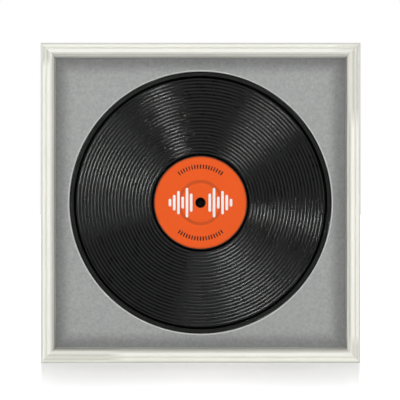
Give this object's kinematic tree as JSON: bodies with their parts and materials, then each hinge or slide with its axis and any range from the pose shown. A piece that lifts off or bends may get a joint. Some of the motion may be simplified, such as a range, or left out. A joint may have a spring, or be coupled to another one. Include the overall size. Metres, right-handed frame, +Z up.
{
  "type": "vinyl record frame",
  "caption": "Square white moulded frame that shows a 12-inch record behind glass in a grey mount board with a round bevelled aperture, with a hardboard back, turn buttons and D-ring hangers.",
  "frame": {"origin": "middle of the frame's bottom edge: centre of the bounding box in X and Y, at the surface that the frame stands on", "axes": "+Z up, -Y the side that shows the record, +X to the right as seen from the front"},
  "size_m": [0.365, 0.0376, 0.365],
  "materials": {
    "painted_wood": "satin ivory white paint",
    "fillet": "matt white foil",
    "glass": "clear, low reflection",
    "mount": "matt grey paper on white core",
    "support": "matt black",
    "filler": "white paper on foam",
    "hardboard": "smooth brown hardboard",
    "vinyl": "polished black vinyl",
    "label": "orange label paper",
    "stud": "satin black",
    "brass": "brassed steel",
    "nickel": "nickelled steel",
    "felt": "grey felt"
  },
  "bodies": {
    "frame": {"rail_bottom": "painted_wood", "rail_left": "painted_wood", "rail_top": "painted_wood", "rail_right": "painted_wood", "spacer_bottom": "fillet", "spacer_left": "fillet", "spacer_top": "fillet", "spacer_right": "fillet", "glazing": "glass", "mount_board": "mount", "support_board": "support", "filler_board": "filler", "back_panel": "hardboard", "record": "vinyl", "label_front": "label", "label_back": "label", "centre_stud": "stud", "stud_washer": "nickel", "stud_nut": "nickel", "v_nail_bottom_left": "nickel", "v_nail_top_left": "nickel", "v_nail_top_right": "nickel", "v_nail_bottom_right": "nickel", "turn_button_bottom_left_screw": "nickel", "turn_button_bottom_right_screw": "nickel", "turn_button_left_upper_screw": "nickel", "turn_button_left_lower_screw": "nickel", "turn_button_top_right_screw": "nickel", "turn_button_top_left_screw": "nickel", "turn_button_right_lower_screw": "nickel", "turn_button_right_upper_screw": "nickel", "hanger_strap_left": "brass", "hanger_screw_left": "nickel", "wall_bumper_left": "felt", "hanger_strap_right": "brass", "hanger_screw_right": "nickel", "wall_bumper_right": "felt"},
    "turn_button_bottom_left": {"turn_button_bottom_left": "brass"},
    "turn_button_bottom_right": {"turn_button_bottom_right": "brass"},
    "turn_button_left_upper": {"turn_button_left_upper": "brass"},
    "turn_button_left_lower": {"turn_button_left_lower": "brass"},
    "turn_button_top_right": {"turn_button_top_right": "brass"},
    "turn_button_top_left": {"turn_button_top_left": "brass"},
    "turn_button_right_lower": {"turn_button_right_lower": "brass"},
    "turn_button_right_upper": {"turn_button_right_upper": "brass"},
    "hanger_ring_left": {"hanger_ring_left": "nickel"},
    "hanger_ring_right": {"hanger_ring_right": "nickel"}
  },
  "joints": [
    {"name": "turn_button_bottom_left_turn", "type": "hinge", "parent": "frame", "child": "turn_button_bottom_left", "pos_m": [-0.1168, 0.0142, 0.0051], "axis": [0, 1, 0], "range_deg": [-90, 90]},
    {"name": "turn_button_bottom_right_turn", "type": "hinge", "parent": "frame", "child": "turn_button_bottom_right", "pos_m": [0.1168, 0.0142, 0.0051], "axis": [0, 1, 0], "range_deg": [-90, 90]},
    {"name": "turn_button_left_upper_turn", "type": "hinge", "parent": "frame", "child": "turn_button_left_upper", "pos_m": [-0.1774, 0.0142, 0.2993], "axis": [0, 1, 0], "range_deg": [-90, 90]},
    {"name": "turn_button_left_lower_turn", "type": "hinge", "parent": "frame", "child": "turn_button_left_lower", "pos_m": [-0.1774, 0.0142, 0.0657], "axis": [0, 1, 0], "range_deg": [-90, 90]},
    {"name": "turn_button_top_right_turn", "type": "hinge", "parent": "frame", "child": "turn_button_top_right", "pos_m": [0.1168, 0.0142, 0.3599], "axis": [0, 1, 0], "range_deg": [-90, 90]},
    {"name": "turn_button_top_left_turn", "type": "hinge", "parent": "frame", "child": "turn_button_top_left", "pos_m": [-0.1168, 0.0142, 0.3599], "axis": [0, 1, 0], "range_deg": [-90, 90]},
    {"name": "turn_button_right_lower_turn", "type": "hinge", "parent": "frame", "child": "turn_button_right_lower", "pos_m": [0.1774, 0.0142, 0.0657], "axis": [0, 1, 0], "range_deg": [-90, 90]},
    {"name": "turn_button_right_upper_turn", "type": "hinge", "parent": "frame", "child": "turn_button_right_upper", "pos_m": [0.1774, 0.0142, 0.2993], "axis": [0, 1, 0], "range_deg": [-90, 90]},
    {"name": "hanger_ring_left_swing", "type": "hinge", "parent": "frame", "child": "hanger_ring_left", "pos_m": [-0.1756, 0.0165, 0.2482], "axis": [1, 0, 0], "range_deg": [0, 180]},
    {"name": "hanger_ring_right_swing", "type": "hinge", "parent": "frame", "child": "hanger_ring_right", "pos_m": [0.1756, 0.0165, 0.2482], "axis": [1, 0, 0], "range_deg": [0, 180]}
  ]
}
